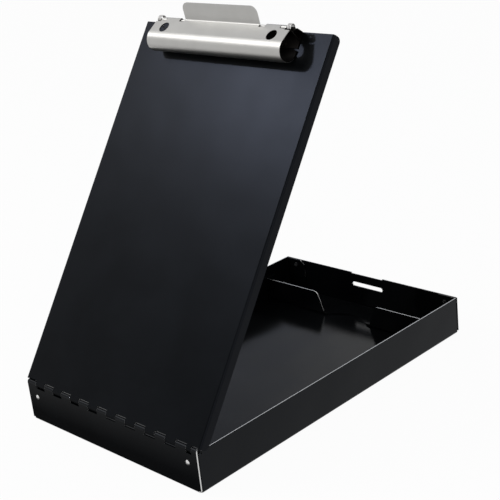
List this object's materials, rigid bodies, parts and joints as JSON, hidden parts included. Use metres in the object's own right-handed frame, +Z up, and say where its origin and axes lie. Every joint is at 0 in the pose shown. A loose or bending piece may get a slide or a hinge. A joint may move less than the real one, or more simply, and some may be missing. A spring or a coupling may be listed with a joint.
{
  "type": "storage clipboard box",
  "caption": "Folded aluminium storage tray whose hinged lid is a clipboard with a wide lever clip, a pen compartment and a snap latch.",
  "frame": {"origin": "centre of the tray's underside, on the surface it rests on", "axes": "+X along the hinge, +Y from the hinge wall to the latch wall, +Z up; the lid is drawn open 55.3 degrees"},
  "size_m": [0.238, 0.3672, 0.3621],
  "materials": {
    "tray_black": "black anodised, semi-gloss, bare edges",
    "partition_black": "black anodised, semi-gloss, bare edges",
    "lid_black": "black anodised, semi-gloss",
    "rivet_aluminium": "bare",
    "clip_nickel": "satin nickel plate",
    "pin_steel": "bright drawn wire",
    "spring_steel": "bright spring steel",
    "rivet_steel": "nickel plated"
  },
  "bodies": {
    "tray": {"tray_shell": "tray_black", "pen_partition": "partition_black", "hinge_pin": "pin_steel", "hinge_wall_rivets": "rivet_aluminium", "latch_wall_rivets": "rivet_aluminium"},
    "lid": {"lid_plate": "lid_black", "clip_base": "clip_nickel", "clip_rivets": "rivet_steel", "clip_rod": "pin_steel", "clip_spring_left": "spring_steel", "clip_spring_right": "spring_steel", "latch_strip": "spring_steel", "latch_rivets": "rivet_steel"},
    "clip_jaw": {"clip_jaw": "clip_nickel"},
    "latch": {"latch_tongue": "spring_steel"}
  },
  "joints": [
    {"name": "lid_hinge", "type": "hinge", "parent": "tray", "child": "lid", "pos_m": [0, -0.1797, 0.0386], "axis": [1, 0, 0], "range_deg": [-55.5, 122.7]},
    {"name": "clip_jaw_hinge", "type": "hinge", "parent": "lid", "child": "clip_jaw", "pos_m": [0, 0.0115, 0.34354], "axis": [-1, 0, 0], "range_deg": [0, 35], "stiffness_Nm_per_rad": 0.3, "springref_deg": -40.11, "deforming": ["clip_spring_left", "clip_spring_right"]},
    {"name": "latch_flex", "type": "hinge", "parent": "lid", "child": "latch", "pos_m": [0, 0.02591, 0.33764], "axis": [1, 0, 0], "range_deg": [-8, 0]}
  ]
}
